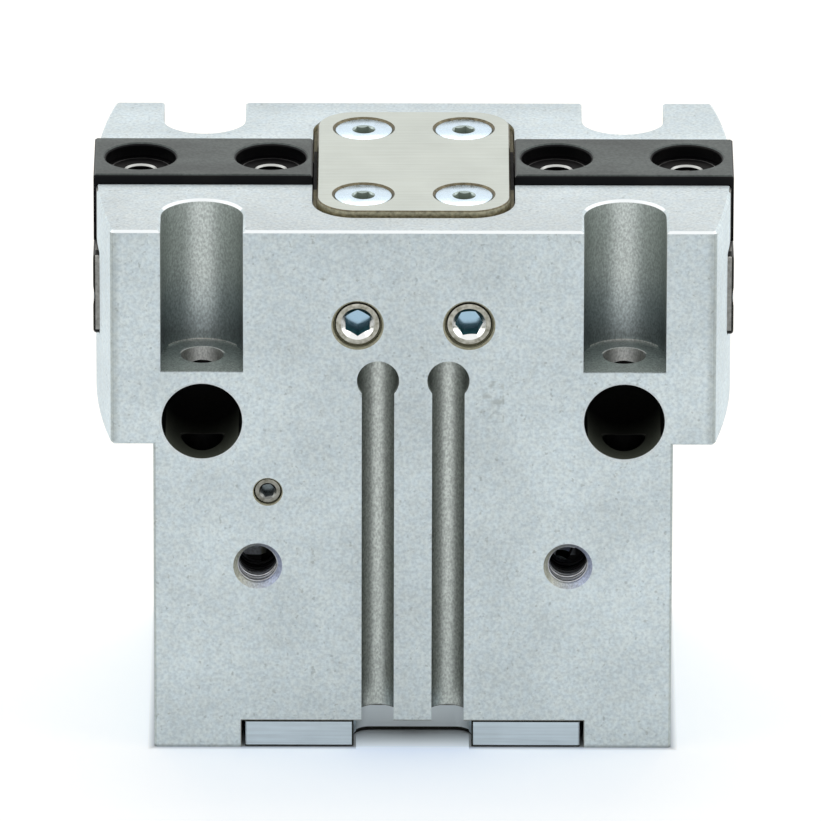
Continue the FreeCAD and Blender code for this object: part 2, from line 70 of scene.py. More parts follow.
def step(tree, kind, values, **settings):
    node = tree.nodes.new(kind)
    for key, value in settings.items():
        setattr(node, key, value)
    setInputs(tree, node, values)
    return node


def output(tree, kind, values, **settings):
    return step(tree, kind, values, **settings).outputs[0]


def sums(tree, operation, first, second=0.0, third=0.0):
    return output(tree, "ShaderNodeMath", {0: first, 1: second, 2: third}, operation=operation)


def allOf(tree, *masks):
    result = masks[0]
    for mask in masks[1:]:
        result = sums(tree, "MULTIPLY", result, mask)
    return result


def anyOf(tree, *masks):
    result = masks[0]
    for mask in masks[1:]:
        result = sums(tree, "MAXIMUM", result, mask)
    return result


def inverse(tree, mask):
    return sums(tree, "SUBTRACT", 1.0, mask)


def mirrored(tree, value):
    return sums(tree, "ABSOLUTE", value)


def above(tree, value, limit):
    return sums(tree, "GREATER_THAN", value, limit)


def below(tree, value, limit):
    return sums(tree, "LESS_THAN", value, limit)


def within(tree, value, low, high):
    return sums(tree, "COMPARE", value, (low + high) / 2, (high - low) / 2)


def away(tree, value, centre):
    return sums(tree, "SUBTRACT", value, centre)


def inRound(tree, across, along, radius):
    square = sums(tree, "MULTIPLY", across, across)
    square = sums(tree, "MULTIPLY_ADD", along, along, square)
    return below(tree, square, radius * radius)


def inSpot(tree, across, along, spot, radius):
    return inRound(tree, away(tree, across, spot[0]), away(tree, along, spot[1]), radius)


def spread(tree, value, fromLow, fromHigh, toLow=0.0, toHigh=1.0):
    values = {0: value, 1: fromLow, 2: fromHigh, 3: toLow, 4: toHigh}
    return step(tree, "ShaderNodeMapRange", values).outputs["Result"]


def mixColour(tree, factor, first, second, mode="MIX"):
    node = step(tree, "ShaderNodeMix", {}, data_type="RGBA", blend_type=mode)
    feed(tree, node.inputs["Factor"], factor)
    for label, value in (("A_Color", first), ("B_Color", second)):
        socket = next(entry for entry in node.inputs if entry.identifier == label)
        feed(tree, socket, value)
    return next(entry for entry in node.outputs if entry.identifier == "Result_Color")


def shade(tree, colour, tone, where=1.0):
    return mixColour(tree, where, colour, tone, "MULTIPLY")


def noise(tree, place, scale, detail, stretch=None):
    if stretch:
        place = output(tree, "ShaderNodeMapping", {"Vector": place, "Scale": stretch})
    values = {"Vector": place, "Scale": scale, "Detail": detail}
    return step(tree, "ShaderNodeTexNoise", values).outputs["Fac"]


def pattern(tree, place, grain, tone):
    return spread(tree, noise(tree, place, *grain), *tone)


def roughness(tree, grain, middle, less, more):
    return spread(tree, grain, *noiseSpan, middle - less, middle + more)


def parts(tree, vector):
    return step(tree, "ShaderNodeSeparateXYZ", {0: vector}).outputs[:]


def startMaterial(name):
    material = bpy.data.materials.new(name)
    material.use_nodes = True
    tree = material.node_tree
    shader = tree.nodes["Principled BSDF"]
    place = tree.nodes.new("ShaderNodeTexCoord").outputs["Object"]
    face = tree.nodes.new("ShaderNodeNewGeometry").outputs["True Normal"]
    return material, tree, shader, place, face


def cover(tree, shader, colour, metal, rough, height, relief):
    distance, strength = relief
    bump = output(tree, "ShaderNodeBump", {"Strength": strength, "Distance": distance, "Height": height})
    setInputs(tree, shader, {"Base Color": colour, "Metallic": metal, "Roughness": rough, "Normal": bump})


# Housing: blasted aluminium outside, bare cut metal in the scallops, slots and holes
# A grain is scale, detail and stretch
# A tone leads from a span of places, leans or noise to a span of values, from none to all if it names none
housingLook = {
    "nodes": ["housing"],
    "colours": {
        "blasted": (0.735, 0.820, 0.840, 1.0),
        "dusty": (0.550, 0.616, 0.632, 1.0),
        "speck": (0.340, 0.375, 0.370, 1.0),
        "warmTint": (1.014, 1.000, 0.982, 1.0),
        "coolTint": (0.986, 1.000, 1.017, 1.0),
        "rubbed": (0.300, 0.330, 0.310, 1.0),
        # Painted highlights along the broken edges of the skin and along its top front border
        "rim": (0.965, 0.980, 0.985, 1.0),
        "topEdge": (0.850, 0.880, 0.888, 1.0),
        # Painted shade on the slanted sides
        "corner": (0.660, 0.655, 0.630, 1.0),
        # Painted shade across the top, darker towards its front
        "topFront": (0.905, 0.885, 0.880, 1.0),
        "topBack": (0.960, 0.965, 0.975, 1.0),
        "scallopCut": (0.560, 0.600, 0.575, 1.0),
        "scallopLow": (0.530, 0.590, 0.600, 1.0),
        "slotCut": (0.670, 0.710, 0.670, 1.0),
        "holeCut": (0.250, 0.255, 0.235, 1.0),
        "holeLit": (0.760, 0.760, 0.730, 1.0),
        # Painted highlight for the lips of the mount holes and the line at the foot of the scallop wall
        "lip": (0.900, 0.900, 0.870, 1.0),
        "portWarm": (0.600, 0.610, 0.500, 1.0),
        "portCool": (0.580, 0.650, 0.860, 1.0),
        # Painted light brown for the gap beside the cover plate, standing in for bounce light and shade there
        "seam": (0.640, 0.600, 0.450, 1.0),
        "plugRing": (0.300, 0.290, 0.200, 1.0),
        # Painted shadow inside the bores and painted light near their mouths
        "deep": (0.002, 0.002, 0.002, 1.0),
        "boreMouth": (0.110, 0.120, 0.095, 1.0),
    },
    "grains": {
        "skin": (2600.0, 3.0),
        "blotch": (120.0, 4.0),
        "speck": (1500.0, 2.0),
        "tint": (1300.0, 2.0),
        "rub": (700.0, 3.0),
        "tool": (4600.0, 3.0, (1.0, 1.0, 0.6)),
    },
    "places": {
        "mountX": 0.026, "mountY": 0.0163,
        "scallopX": (0.0209, 0.0311), "scallopY": 0.0111, "scallopZ": (0.0501, 0.0685),
        "holeRadius": 0.00267, "holeTop": 0.0502,
        "lipRadius": 0.00288, "lipTop": 0.0503, "lipY": 0.0156,
        "heelX": 0.0042, "heelZ": (0.05022, 0.05042),
        "slotX": (0.0017, 0.00696), "slotMiddle": 0.00433, "slotY": (-0.02177, -0.0164), "slotTop": 0.0518,
        "guideX": 0.0126, "guideY": 0.0175, "guideZ": (0.0513, 0.0687), "neckY": 0.0081,
        "seamY": 0.0070, "seamZ": 0.0665,
        "pocketX": 0.0213, "pocketTop": 0.0037,
        "portRadius": 0.0031, "portY": (-0.02178, -0.0080),
        "portLipY": -0.0208, "portEndY": -0.0150, "portEndZ": 0.0223,
        "plugRadius": 0.0033, "ductRadius": 0.0019, "ringY": (-0.02178, -0.0120),
        "boreZ": 0.0435, "boreRadius": 0.00497,
        "cornerX": 0.0312, "headZ": 0.0403,
        "rubX": (0.0082, 0.0112), "rubY": -0.0217, "rubZ": (0.0435, 0.0490),
        "rimX": 0.0313, "rimY": 0.02145, "edgeZ": 0.0680,
    },
    "leans": {
        "upright": (-0.3, 0.3), "corner": (0.25, 0.95),
        "front": (-0.95, -0.30), "back": (0.40, 0.95), "edge": (0.30, 0.95),
        "heel": 0.5, "portLip": -0.3, "portEnd": -0.5, "boreLit": 0.4,
    },
    "tones": {
        "grain": (0.28, 0.66),
        "speck": (0.66, 0.74, 0.0, 0.55),
        "blotch": (0.35, 0.65, 0.93, 1.04),
        "tint": (0.36, 0.64),
        "rub": (0.48, 0.62, 0.0, 0.5),
        "tool": (0.35, 0.65, 0.76, 1.20),
        # The next tones paint shade on the front and light and shade on the top
        "middle": (0.003, 0.020, 0.912, 1.0),
        "foot": (0.0, 0.009, 0.91, 1.0),
        "footLine": (0.00010, 0.00044, 0.52, 1.0),
        "besideX": (0.010, 0.019),
        "besideZ": (0.0490, 0.0530, 0.0, -0.060),
        "underEdge": (0.0673, 0.0680, 1.0, 0.955),
        "topDepth": (-0.018, 0.018),
        "nearPlateX": (0.0105, 0.0130),
        "nearPlateY": (-0.0205, -0.0125, -0.105, 0.0),
        "nearJaw": (0.0070, 0.0115, 1.17, 1.0),
        "topBack": (0.0165, 0.0205, 1.0, 0.89),
        "nearCorner": (0.0360, 0.0366, 0.0, 0.6),
        # The next tones paint light and shade in the scallops, slots, mount holes and ports
        "lowWall": (0.0004, 0.0049, 0.95, 0.56),
        "highWall": (0.0004, 0.0049, 1.14, 0.84),
        "upWall": (0.0525, 0.0590),
        "floorWidth": (0.0004, 0.0040, 0.68, 1.26),
        "floorDepth": (0.0120, 0.0180, 0.58, 1.0),
        "slot": (0.0013, 0.0021, 1.0, 0.34),
        "hole": (0.0004, 0.0020),
        "portLip": (-0.6, 0.15, 0.30, 0.58),
        "portEnd": (0.0, 0.0011, 1.0, 0.0),
        "portDepth": (-0.0186, -0.0174, 1.0, 0.02),
        "portWall": (-0.05, 0.55, 0.01, 0.90),
        "portSide": (-0.6, 0.6),
        "boreDepth": (0.0100, 0.0218),
        "underBore": (0.0200, 0.0360),
        "metal": (0.0, 1.0, 0.05, 1.0),
        "rough": (*noiseSpan, 0.52, 0.64),
    },
    "rimShare": 0.25,
    "bareRough": -0.18,
    "boreRough": 0.6,
    "gloss": 0.4,
    "relief": (0.00002, 0.6),
}


def housingSpots(tree, look, place, face):
    x, y, z = parts(tree, place)
    tiltX, tiltY, tiltZ = parts(tree, face)
    sideX = mirrored(tree, x)
    sideY = mirrored(tree, y)
    mountX = away(tree, sideX, look["places"]["mountX"])
    mountY = away(tree, sideY, look["places"]["mountY"])
    offMount = mirrored(tree, mountX)
    return SimpleNamespace(place=place, x=x, y=y, z=z, tiltX=tiltX, tiltY=tiltY, tiltZ=tiltZ,
                           sideX=sideX, sideY=sideY, mountX=mountX, mountY=mountY, offMount=offMount)


def cutZones(tree, look, at):
    places = look["places"]
    scallop = allOf(tree, within(tree, at.sideX, *places["scallopX"]),
                    above(tree, at.sideY, places["scallopY"]), within(tree, at.z, *places["scallopZ"]))
    hole = allOf(tree, inRound(tree, at.mountX, at.mountY, places["holeRadius"]),
                 below(tree, at.z, places["holeTop"]))
    # The lips of the mount holes take a painted highlight
    lip = allOf(tree, inRound(tree, at.mountX, at.mountY, places["lipRadius"]),
                below(tree, at.z, places["lipTop"]), below(tree, at.sideY, places["lipY"]))
    slot = allOf(tree, within(tree, at.sideX, *places["slotX"]), within(tree, at.y, *places["slotY"]),
                 below(tree, at.z, places["slotTop"]))
    inGuide = within(tree, at.z, *places["guideZ"])
    guide = allOf(tree, below(tree, at.sideY, places["guideY"]), below(tree, at.sideX, places["guideX"]),
                  inGuide)
    neck = allOf(tree, below(tree, at.sideY, places["neckY"]), inGuide)
    # The walls in the gap beside the cover plate take a painted light brown for the bounce light and shade
    # there
    seam = allOf(tree, guide, above(tree, at.sideY, places["seamY"]), above(tree, at.z, places["seamZ"]))
    pocket = allOf(tree, below(tree, at.z, places["pocketTop"]), below(tree, at.sideX, places["pocketX"]))
    port = allOf(tree, inSpot(tree, at.sideX, at.z, spots["airPort"], places["portRadius"]),
                 within(tree, at.y, *places["portY"]))
    plug = inSpot(tree, at.sideX, at.z, spots["purgePlug"], places["plugRadius"])
    leftDuct = (-spots["ductPlug"][0], spots["ductPlug"][1])
    duct = inSpot(tree, at.x, at.z, leftDuct, places["ductRadius"])
    ring = allOf(tree, anyOf(tree, plug, duct), within(tree, at.y, *places["ringY"]))
    bore = inRound(tree, at.mountX, away(tree, at.z, places["boreZ"]), places["boreRadius"])
    # Recesses that take the darker cut colour as painted shade
    dim = anyOf(tree, hole, guide, neck, pocket)
    bare = anyOf(tree, scallop, slot, dim, port, ring, bore)
    return SimpleNamespace(scallop=scallop, hole=hole, lip=lip, slot=slot, seam=seam, port=port, ring=ring,
                           bore=bore, dim=dim, bare=bare)


# Painted shade on the front: a little darker in its middle, at its foot, below its top border and beside the
# scallops
def frontTone(tree, look, at):
    tones = look["tones"]
    beside = allOf(tree, spread(tree, at.sideX, *tones["besideX"]), spread(tree, at.z, *tones["besideZ"]),
                   below(tree, at.sideX, look["places"]["scallopX"][0]))
    return allOf(tree, spread(tree, at.sideX, *tones["middle"]), spread(tree, at.z, *tones["foot"]),
                 spread(tree, at.z, *tones["underEdge"]), sums(tree, "ADD", beside, 1.0))


# Painted light and shade on the top: lighter towards the jaws, darker at its back and in front beside the
# cover plate
def topTone(tree, look, at):
    colours = look["colours"]
    tones = look["tones"]
    colour = mixColour(tree, spread(tree, at.y, *tones["topDepth"]), colours["topFront"], colours["topBack"])
    beside = allOf(tree, spread(tree, at.sideX, *tones["nearPlateX"]),
                   spread(tree, at.y, *tones["nearPlateY"]),
                   below(tree, at.sideX, look["places"]["scallopX"][0]))
    tone = allOf(tree, spread(tree, at.sideY, *tones["nearJaw"]), spread(tree, at.y, *tones["topBack"]),
                 sums(tree, "ADD", beside, 1.0))
    return shade(tree, colour, tone)


# Painted shade on the slanted sides of the body and on the sides of the head
def cornerZone(tree, look, at):
    places = look["places"]
    leans = look["leans"]
    turned = mirrored(tree, at.tiltX)
    upright = allOf(tree, above(tree, at.sideX, places["cornerX"]), within(tree, at.tiltZ, *leans["upright"]))
    beside = allOf(tree, below(tree, turned, leans["corner"][0]), above(tree, at.z, places["headZ"]),
                   spread(tree, at.sideX, *look["tones"]["nearCorner"]))
    return allOf(tree, upright, anyOf(tree, within(tree, turned, *leans["corner"]), beside))


def housingSkin(tree, look, at, grain):
    colours = look["colours"]
    grains = look["grains"]
    places = look["places"]
    tones = look["tones"]
    skin = mixColour(tree, spread(tree, grain, *tones["grain"]), colours["dusty"], colours["blasted"])
    skin = mixColour(tree, pattern(tree, at.place, grains["speck"], tones["speck"]), skin, colours["speck"])
    skin = shade(tree, skin, pattern(tree, at.place, grains["blotch"], tones["blotch"]))
    tintShare = pattern(tree, at.place, grains["tint"], tones["tint"])
    skin = shade(tree, skin, mixColour(tree, tintShare, colours["coolTint"], colours["warmTint"]))
    skin = shade(tree, skin, frontTone(tree, look, at), below(tree, at.tiltY, -squareOn))
    skin = shade(tree, skin, topTone(tree, look, at), above(tree, at.tiltZ, squareOn))
    skin = shade(tree, skin, colours["corner"], cornerZone(tree, look, at))
    # Painted shade in a thin line along the foot of the skin
    skin = shade(tree, skin, spread(tree, at.z, *tones["footLine"]))
    rub = allOf(tree, within(tree, at.x, *places["rubX"]), within(tree, at.z, *places["rubZ"]),
                below(tree, at.y, places["rubY"]), pattern(tree, at.place, grains["rub"], tones["rub"]))
    return mixColour(tree, rub, skin, colours["rubbed"])


# Painted highlights on the broken edges of the skin, the upper ones most
def brokenEdges(tree, look, at, bare):
    places = look["places"]
    leans = look["leans"]
    broken = anyOf(tree, within(tree, at.tiltY, *leans["front"]), within(tree, at.tiltY, *leans["back"]))
    broken = allOf(tree, broken, inverse(tree, bare))
    rim = allOf(tree, broken, above(tree, at.sideY, places["rimY"]), below(tree, at.sideX, places["rimX"]),
                look["rimShare"])
    edge = allOf(tree, broken, within(tree, at.tiltZ, *leans["edge"]), above(tree, at.z, places["edgeZ"]))
    return rim, edge


# Painted light and shade in the scallops: on the walls a lighter middle and darker sides, darker low down; on
# the floor darker in the middle and beside the wall; the lower walls a little bluish
def scallopColour(tree, look, at):
    colours = look["colours"]
    tones = look["tones"]
    flat = above(tree, at.tiltZ, squareOn)
    upWall = spread(tree, at.z, *tones["upWall"])
    wallShade = mixColour(tree, upWall, spread(tree, at.offMount, *tones["lowWall"]),
                          spread(tree, at.offMount, *tones["highWall"]))
    floorShade = allOf(tree, spread(tree, at.offMount, *tones["floorWidth"]),
                       spread(tree, at.sideY, *tones["floorDepth"]))
    colour = mixColour(tree, anyOf(tree, upWall, flat), colours["scallopLow"], colours["scallopCut"])
    return shade(tree, colour, mixColour(tree, flat, wallShade, floorShade))


# Painted light and shade in a port: its lips darker towards the top, its wall fading to dark with depth and
# darker towards the top, a painted lit spot on its far face, and painted olive and bluish reflections on its
# two sides
def portColour(tree, look, at):
    colours = look["colours"]
    places = look["places"]
    leans = look["leans"]
    tones = look["tones"]
    lip = allOf(tree, below(tree, at.tiltY, leans["portLip"]), below(tree, at.y, places["portLipY"]),
                spread(tree, at.tiltZ, *tones["portLip"]))
    across = allOf(tree, away(tree, at.sideX, spots["airPort"][0]), sums(tree, "SIGN", at.x))
    end = allOf(tree, below(tree, at.tiltY, leans["portEnd"]), above(tree, at.y, places["portEndY"]),
                above(tree, at.z, places["portEndZ"]), spread(tree, across, *tones["portEnd"]))
    wall = allOf(tree, spread(tree, at.y, *tones["portDepth"]), spread(tree, at.tiltZ, *tones["portWall"]))
    warmShare = spread(tree, at.tiltX, *tones["portSide"])
    colour = mixColour(tree, warmShare, colours["portCool"], colours["portWarm"])
    return shade(tree, colour, anyOf(tree, lip, end, wall))


def cutMetal(tree, look, at, zone):
    colours = look["colours"]
    places = look["places"]
    tones = look["tones"]
    # Painted shade across each slot, lighter down its middle and darker at its sides
    offSlot = mirrored(tree, away(tree, at.sideX, places["slotMiddle"]))
    slotColour = shade(tree, colours["slotCut"], spread(tree, offSlot, *tones["slot"]))
    cut = mixColour(tree, zone.slot, scallopColour(tree, look, at), slotColour)
    # Painted highlights on the line at the foot of the scallop wall and on the lips of the mount holes
    heel = allOf(tree, zone.scallop, within(tree, at.z, *places["heelZ"]),
                 below(tree, at.offMount, places["heelX"]), below(tree, at.tiltZ, look["leans"]["heel"]))
    cut = mixColour(tree, anyOf(tree, heel, zone.lip), cut, colours["lip"])
    # Painted light and shade in the mount holes, lighter in the middle and dark at the sides; the guide, the
    # neck and the base pocket take the dark colour as painted shade
    darkShare = spread(tree, at.offMount, *tones["hole"])
    holeColour = mixColour(tree, darkShare, colours["holeLit"], colours["holeCut"])
    cut = mixColour(tree, zone.dim, cut, mixColour(tree, zone.hole, colours["holeCut"], holeColour))
    cut = mixColour(tree, zone.port, cut, portColour(tree, look, at))
    cut = mixColour(tree, zone.ring, cut, colours["plugRing"])
    return shade(tree, cut, pattern(tree, at.place, look["grains"]["tool"], tones["tool"]))


def blastedAluminium(name, look):
    material, tree, shader, place, face = startMaterial(name)
    colours = look["colours"]
    tones = look["tones"]
    at = housingSpots(tree, look, place, face)
    zone = cutZones(tree, look, at)
    grain = noise(tree, place, *look["grains"]["skin"])
    # Painted highlights on the broken edges
    rim, edge = brokenEdges(tree, look, at, zone.bare)
    skin = mixColour(tree, rim, housingSkin(tree, look, at, grain), colours["rim"])
    skin = mixColour(tree, edge, skin, colours["topEdge"])
    colour = mixColour(tree, zone.bare, skin, cutMetal(tree, look, at, zone))
    # Painted shadow inside the bores, black, with painted light on their floors near the mouth; the mount
    # holes just below them are painted black as shadow too, fading further down
    lit = allOf(tree, above(tree, at.tiltZ, look["leans"]["boreLit"]),
                spread(tree, at.sideY, *tones["boreDepth"]))
    colour = mixColour(tree, zone.bore, colour, mixColour(tree, lit, colours["deep"], colours["boreMouth"]))
    under = allOf(tree, zone.hole, below(tree, at.z, look["places"]["boreZ"]),
                  spread(tree, at.z, *tones["underBore"]), inverse(tree, zone.bore))
    colour = mixColour(tree, under, colour, colours["deep"])
    colour = mixColour(tree, zone.seam, colour, colours["seam"])
    plain = anyOf(tree, zone.seam, zone.ring, zone.port, zone.lip)
    metal = sums(tree, "SUBTRACT", anyOf(tree, zone.bare, edge), plain)
    rough = spread(tree, grain, *tones["rough"])
    rough = sums(tree, "MULTIPLY_ADD", zone.bare, look["bareRough"], rough)
    rough = sums(tree, "MULTIPLY_ADD", zone.bore, look["boreRough"], rough)
    cover(tree, shader, colour, spread(tree, metal, *tones["metal"]), rough, grain, look["relief"])
    shader.inputs["Specular IOR Level"].default_value = look["gloss"]
    return material


# Jaws: dark coated steel, ground on top
jawLook = {
    "nodes": ["jaw_left", "jaw_right"],
    "coat": (0.011, 0.011, 0.012, 1.0),
    "wornCoat": (0.020, 0.019, 0.018, 1.0),
    "ground": (0.083, 0.094, 0.091, 1.0),
    # The seat line and the bright ring are painted highlights
    "seatLine": (0.300, 0.300, 0.300, 1.0),
    "bright": (0.550, 0.560, 0.540, 1.0),
    "grain": (2600.0, 2.0),
    "wear": (260.0, 4.0, (0.3, 1.0, 1.0)),
    "topZ": 0.06995, "topLean": 0.5,
    "rimRadius": 0.00207, "rimLean": (0.3, 0.95),
    "seatZ": 0.06845, "seatRadii": (0.00366, 0.00380),
    "wornShare": (0.45, 0.75),
    "wearTone": (0.38, 0.62, 0.82, 1.20),
    "grainTone": (0.36, 0.64, 0.84, 1.16),
    "rough": (*noiseSpan, 0.38, 0.48),
    "relief": (0.000008, 0.5),
}


def coatedSteel(name, look):
    material, tree, shader, place, face = startMaterial(name)
    x, y, z = parts(tree, place)
    tilt = parts(tree, face)[2]
    sideX = mirrored(tree, x)
    grain = noise(tree, place, *look["grain"])
    wear = noise(tree, place, *look["wear"])

    def around(radius):
        return anyOf(tree, *[inRound(tree, away(tree, sideX, hole), y, radius)
                             for hole in spots["fingerHoles"]])

    # Painted highlights: a bright ring on the chamfers of the tapped holes and a light line round each
    # counterbore seat
    top = allOf(tree, above(tree, tilt, look["topLean"]), above(tree, z, look["topZ"]))
    rim = allOf(tree, around(look["rimRadius"]), within(tree, tilt, *look["rimLean"]))
    inner, outer = look["seatRadii"]
    seat = allOf(tree, sums(tree, "SUBTRACT", around(outer), around(inner)), below(tree, z, look["seatZ"]),
                 above(tree, tilt, squareOn))
    ground = shade(tree, look["ground"], spread(tree, wear, *look["wearTone"]))
    ground = shade(tree, ground, spread(tree, grain, *look["grainTone"]))
    coat = mixColour(tree, spread(tree, wear, *look["wornShare"]), look["coat"], look["wornCoat"])
    colour = mixColour(tree, top, coat, ground)
    colour = mixColour(tree, seat, colour, look["seatLine"])
    colour = mixColour(tree, rim, colour, look["bright"])
    rough = spread(tree, wear, *look["rough"])
    cover(tree, shader, colour, 1.0, rough, grain, look["relief"])
    return material


# Cover plate: ground steel with brown cut edges and countersinks
plateLook = {
    "nodes": ["top_cover"],
    "ground": (0.512, 0.548, 0.508, 1.0),
    "line": (0.480, 0.509, 0.468, 1.0),
    "cutEdge": (0.430, 0.400, 0.290, 1.0),
    "sunk": (0.170, 0.150, 0.100, 1.0),
    "lines": (2600.0, 3.0, (0.03, 1.0, 1.0)),
    "stain": (150.0, 4.0),
    "mottle": (2200.0, 3.0),
    "sunkLean": 0.3,
    "lineShare": (0.35, 0.7),
    "stainTone": (*noiseSpan, 0.95, 1.05),
    "mottleTone": (*noiseSpan, 0.6, 1.3),
    "rough": (*noiseSpan, 0.34, 0.44),
    "relief": (0.000006, 0.5),
}


def groundPlate(name, look):
    material, tree, shader, place, face = startMaterial(name)
    tilt = parts(tree, face)[2]
    lines = noise(tree, place, *look["lines"])
    flat = mixColour(tree, spread(tree, lines, *look["lineShare"]), look["ground"], look["line"])
    flat = shade(tree, flat, pattern(tree, place, look["stain"], look["stainTone"]))
    brown = mixColour(tree, above(tree, tilt, look["sunkLean"]), look["cutEdge"], look["sunk"])
    brown = shade(tree, brown, pattern(tree, place, look["mottle"], look["mottleTone"]))
    colour = mixColour(tree, below(tree, tilt, squareOn), flat, brown)
    rough = spread(tree, lines, *look["rough"])
    cover(tree, shader, colour, 1.0, rough, lines, look["relief"])
    return material


# Zinc plated screws and plugs, with painted shade on the walls and floors of their sockets, a painted bluish
# reflection on the floors of the purge plug sockets and a painted highlight on the lead-in where it faces up
screwLooks = {
    "zincScrew": {
        "nodes": ["top_cover_screws", "bottom_cover_screws", "drive_screw"],
        "zinc": (0.670, 0.805, 0.910, 1.0), "dull": (0.560, 0.665, 0.750, 1.0),
        "wall": (0.240, 0.285, 0.240, 1.0), "floor": (0.150, 0.180, 0.160, 1.0),
        "lead": (0.400, 0.470, 0.450, 1.0), "rough": 0.27, "metalFloor": False,
        "axes": "xy", "spots": ("plateScrew", "baseScrew"), "hex": 0.0024, "leadIn": 0.00006,
    },
    "sideScrew": {
        "nodes": ["side_cover_screws"],
        "zinc": (0.520, 0.560, 0.580, 1.0), "dull": (0.400, 0.430, 0.450, 1.0),
        "wall": (0.150, 0.170, 0.160, 1.0), "floor": (0.090, 0.100, 0.095, 1.0),
        "lead": (0.300, 0.320, 0.320, 1.0), "rough": 0.30, "metalFloor": True,
        "axes": "yz", "spots": ("sideScrew",), "hex": 0.0013, "leadIn": 0.00004,
    },
    "brightPlug": {
        "nodes": ["purge_plugs"],
        "zinc": (0.560, 0.550, 0.480, 1.0), "dull": (0.190, 0.180, 0.130, 1.0),
        "wall": (0.000, 0.085, 0.100, 1.0), "floor": (0.430, 0.620, 0.760, 1.0),
        "lead": (0.900, 0.910, 0.900, 1.0), "rough": 0.16, "metalFloor": True,
        "axes": "xz", "spots": ("purgePlug",), "hex": 0.0030, "leadIn": 0.00034,
        # A painted shadow ring in the gap round the plug
        "groove": (0.015, 0.015, 0.012, 1.0), "grooveRadii": (0.00266, 0.00281),
    },
    "dullPlug": {
        "nodes": ["duct_plug"],
        "zinc": (0.330, 0.325, 0.285, 1.0), "dull": (0.150, 0.145, 0.115, 1.0),
        "wall": (0.100, 0.115, 0.120, 1.0), "floor": (0.170, 0.200, 0.210, 1.0),
        "lead": (0.200, 0.205, 0.195, 1.0), "rough": 0.24, "metalFloor": True,
        "axes": "xz", "spots": ("ductPlug",), "hex": 0.0016, "leadIn": 0.00016,
    },
}
plating = {
    "mottle": (1500.0, 4.0),
    "dullShare": (0.4, 0.75),
    "leadTone": (-0.4, 0.3, 0.45, 1.0),
    "wallLean": 0.4,
    "wallRough": 0.45,
    "roughSpan": (0.05, 0.07),
    "relief": (0.000008, 0.4),
}


def platedScrew(name, look):
    material, tree, shader, place, face = startMaterial(name)
    offset = dict(zip("xyz", [mirrored(tree, part) for part in parts(tree, place)]))
    tilt = dict(zip("xyz", parts(tree, face)))
    first, second = look["axes"]
    outward = next(axis for axis in "xyz" if axis not in look["axes"])
    lean = mirrored(tree, tilt[outward])

    def around(radius):
        return anyOf(tree, *[inSpot(tree, offset[first], offset[second], spots[spot], radius)
                             for spot in look["spots"]])

    inside = around(look["hex"] / math.sqrt(3) + look["leadIn"])
    wall = below(tree, lean, plating["wallLean"])
    floor = above(tree, lean, squareOn)
    mottle = noise(tree, place, *plating["mottle"])
    colour = mixColour(tree, spread(tree, mottle, *plating["dullShare"]), look["zinc"], look["dull"])
    # Painted highlight on the lead-in where it faces up; painted shade on the socket walls and floors
    lead = shade(tree, look["lead"], spread(tree, tilt["z"], *plating["leadTone"]))
    socket = mixColour(tree, wall, lead, look["wall"])
    socket = mixColour(tree, floor, socket, look["floor"])
    colour = mixColour(tree, inside, colour, socket)
    plain = wall if look["metalFloor"] else anyOf(tree, wall, floor)
    metal = inverse(tree, allOf(tree, inside, plain))
    # A painted shadow ring in the gap round each purge plug
    if "groove" in look:
        inner, outer = [around(radius) for radius in look["grooveRadii"]]
        outside = mixColour(tree, outer, housingLook["colours"]["plugRing"], look["groove"])
        colour = mixColour(tree, inner, outside, colour)
        metal = allOf(tree, metal, inner)
    rough = roughness(tree, mottle, look["rough"], *plating["roughSpan"])
    rough = sums(tree, "MULTIPLY_ADD", allOf(tree, inside, wall), plating["wallRough"], rough)
    cover(tree, shader, colour, metal, rough, mottle, plating["relief"])
    return material


